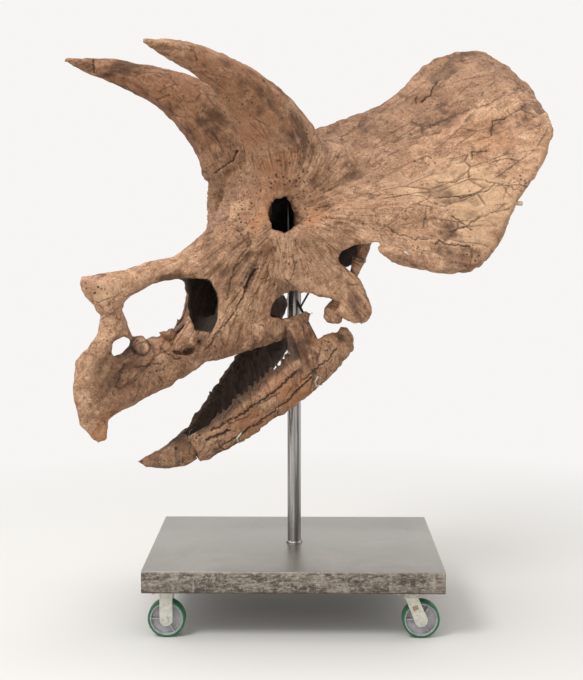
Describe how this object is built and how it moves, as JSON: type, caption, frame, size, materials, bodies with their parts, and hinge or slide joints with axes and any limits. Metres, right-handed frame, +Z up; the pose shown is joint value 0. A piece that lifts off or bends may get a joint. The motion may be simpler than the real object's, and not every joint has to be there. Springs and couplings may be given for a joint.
{
  "type": "mounted triceratops skull",
  "caption": "Life-size fossil skull of a horned dinosaur with open jaws, held on a steel pole over a heavy flat base that rolls on casters.",
  "frame": {"origin": "centre of the whole mount's footprint, on the floor", "axes": "+Z up, +X from the beak side to the frill side along the base's long edge, +Y from the front edge of the base to its rear"},
  "size_m": [1.7066, 1.434, 2.0389],
  "materials": {
    "bone": "dry mineralised bone, warm tan brown with darker cracks and pits",
    "horn": "mineralised horn core, darker brown and finely grooved",
    "base_steel": "waxed mill-scale steel sheet, satin top and mottled edge",
    "pole_steel": "bare streaky steel",
    "caster_zinc": "pale zinc plating",
    "wheel_core": "cast wheel centre, light grey",
    "tyre": "dark green polyurethane"
  },
  "bodies": {
    "root": {"beak_lower": "bone", "beak_upper": "bone", "braincase": "bone", "brow_left": "bone", "brow_right": "bone", "cheek_left": "bone", "cheek_right": "bone", "face_left": "bone", "face_right": "bone", "frill_left": "bone", "frill_right": "bone", "horn_left": "horn", "horn_right": "horn", "jaw_left": "bone", "jaw_right": "bone", "nose": "bone", "quadrate_left": "bone", "quadrate_right": "bone", "stand_arm_left": "pole_steel", "stand_arm_right": "pole_steel", "stand_base": "base_steel", "stand_fork_rigid_front": "caster_zinc", "stand_fork_rigid_rear": "caster_zinc", "stand_plate_front": "caster_zinc", "stand_plate_rear": "caster_zinc", "stand_pole": "pole_steel", "stand_strut_jaw_left": "pole_steel", "stand_strut_jaw_right": "pole_steel", "stand_strut_skull": "pole_steel"},
    "swivel_front": {"stand_fork_swivel_front": "caster_zinc"},
    "swivel_rear": {"stand_fork_swivel_rear": "caster_zinc"},
    "wheel_rigid_front": {"stand_wheel_rigid_front": "wheel_core", "stand_tyre_rigid_front": "tyre"},
    "wheel_rigid_rear": {"stand_wheel_rigid_rear": "wheel_core", "stand_tyre_rigid_rear": "tyre"},
    "wheel_swivel_front": {"stand_wheel_swivel_front": "wheel_core", "stand_tyre_swivel_front": "tyre"},
    "wheel_swivel_rear": {"stand_wheel_swivel_rear": "wheel_core", "stand_tyre_swivel_rear": "tyre"}
  },
  "joints": [
    {"name": "swivel_front_turn", "type": "hinge", "parent": "root", "child": "swivel_front", "pos_m": [0.33463, -0.37707, 0.15], "axis": [0, 0, 1], "continuous": true},
    {"name": "wheel_swivel_front_roll", "type": "hinge", "parent": "swivel_front", "child": "wheel_swivel_front", "pos_m": [0.36863, -0.37707, 0.0635], "axis": [0, 1, 0], "continuous": true},
    {"name": "wheel_rigid_front_roll", "type": "hinge", "parent": "root", "child": "wheel_rigid_front", "pos_m": [-0.49137, -0.37707, 0.0635], "axis": [0, 1, 0], "continuous": true},
    {"name": "swivel_rear_turn", "type": "hinge", "parent": "root", "child": "swivel_rear", "pos_m": [0.33463, 0.25493, 0.15], "axis": [0, 0, 1], "continuous": true},
    {"name": "wheel_swivel_rear_roll", "type": "hinge", "parent": "swivel_rear", "child": "wheel_swivel_rear", "pos_m": [0.36863, 0.25493, 0.0635], "axis": [0, 1, 0], "continuous": true},
    {"name": "wheel_rigid_rear_roll", "type": "hinge", "parent": "root", "child": "wheel_rigid_rear", "pos_m": [-0.49137, 0.25493, 0.0635], "axis": [0, 1, 0], "continuous": true}
  ]
}
